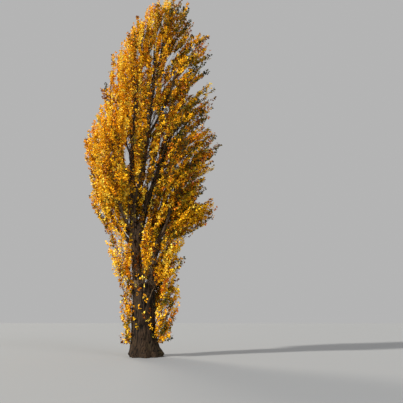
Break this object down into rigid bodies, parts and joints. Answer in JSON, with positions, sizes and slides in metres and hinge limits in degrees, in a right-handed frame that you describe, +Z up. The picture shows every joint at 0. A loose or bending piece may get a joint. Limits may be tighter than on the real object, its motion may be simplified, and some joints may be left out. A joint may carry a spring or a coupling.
{
  "type": "poplar tree",
  "caption": "Tall columnar poplar in golden autumn leaf: a short furrowed trunk that forks low into steep stems, upswept boughs, and a dense narrow crown with leafy skirts down to the foot.",
  "frame": {"origin": "middle of the flat cut under the trunk, at ground level", "axes": "+Z up the trunk, -Y towards the side that is seen in the picture, +X to the right there"},
  "size_m": [7.8139, 6.2689, 21.4],
  "materials": {
    "bark": "deeply furrowed",
    "young_bark": "rough",
    "foliage": "matt leaves"
  },
  "bodies": {
    "root": {"bough_back_high_left": "young_bark", "bough_back_high_right": "young_bark", "bough_back_left": "young_bark", "bough_back_mid": "young_bark", "bough_back_right": "young_bark", "bough_back_top": "young_bark", "bough_front_high": "young_bark", "bough_front_left": "young_bark", "bough_front_mid": "young_bark", "bough_front_right": "young_bark", "bough_front_upper": "young_bark", "bough_left_far": "young_bark", "bough_left_high": "young_bark", "bough_left_mid": "young_bark", "bough_left_outer": "young_bark", "bough_left_upper": "young_bark", "bough_right_far": "young_bark", "bough_right_inner": "young_bark", "bough_right_low": "young_bark", "bough_right_upper": "young_bark", "foliage_back_high_left": "foliage", "foliage_back_high_right": "foliage", "foliage_back_left": "foliage", "foliage_back_mid": "foliage", "foliage_back_right": "foliage", "foliage_back_skirt": "foliage", "foliage_back_top": "foliage", "foliage_fork_front": "foliage", "foliage_front_high": "foliage", "foliage_front_left": "foliage", "foliage_front_mid": "foliage", "foliage_front_right": "foliage", "foliage_front_upper": "foliage", "foliage_left_far": "foliage", "foliage_left_foot": "foliage", "foliage_left_high": "foliage", "foliage_left_low": "foliage", "foliage_left_mid": "foliage", "foliage_left_outer": "foliage", "foliage_left_skirt": "foliage", "foliage_left_upper": "foliage", "foliage_middle": "foliage", "foliage_right_far": "foliage", "foliage_right_foot": "foliage", "foliage_right_high": "foliage", "foliage_right_inner": "foliage", "foliage_right_low": "foliage", "foliage_right_mid": "foliage", "foliage_right_skirt": "foliage", "foliage_right_upper": "foliage", "foliage_top": "foliage", "foliage_top_left": "foliage", "foliage_top_right": "foliage", "stem_centre": "bark", "stem_centre_right": "bark", "stem_left": "bark", "stem_middle": "bark", "stem_right": "bark", "stem_top_right": "bark", "trunk": "bark"}
  },
  "joints": []
}
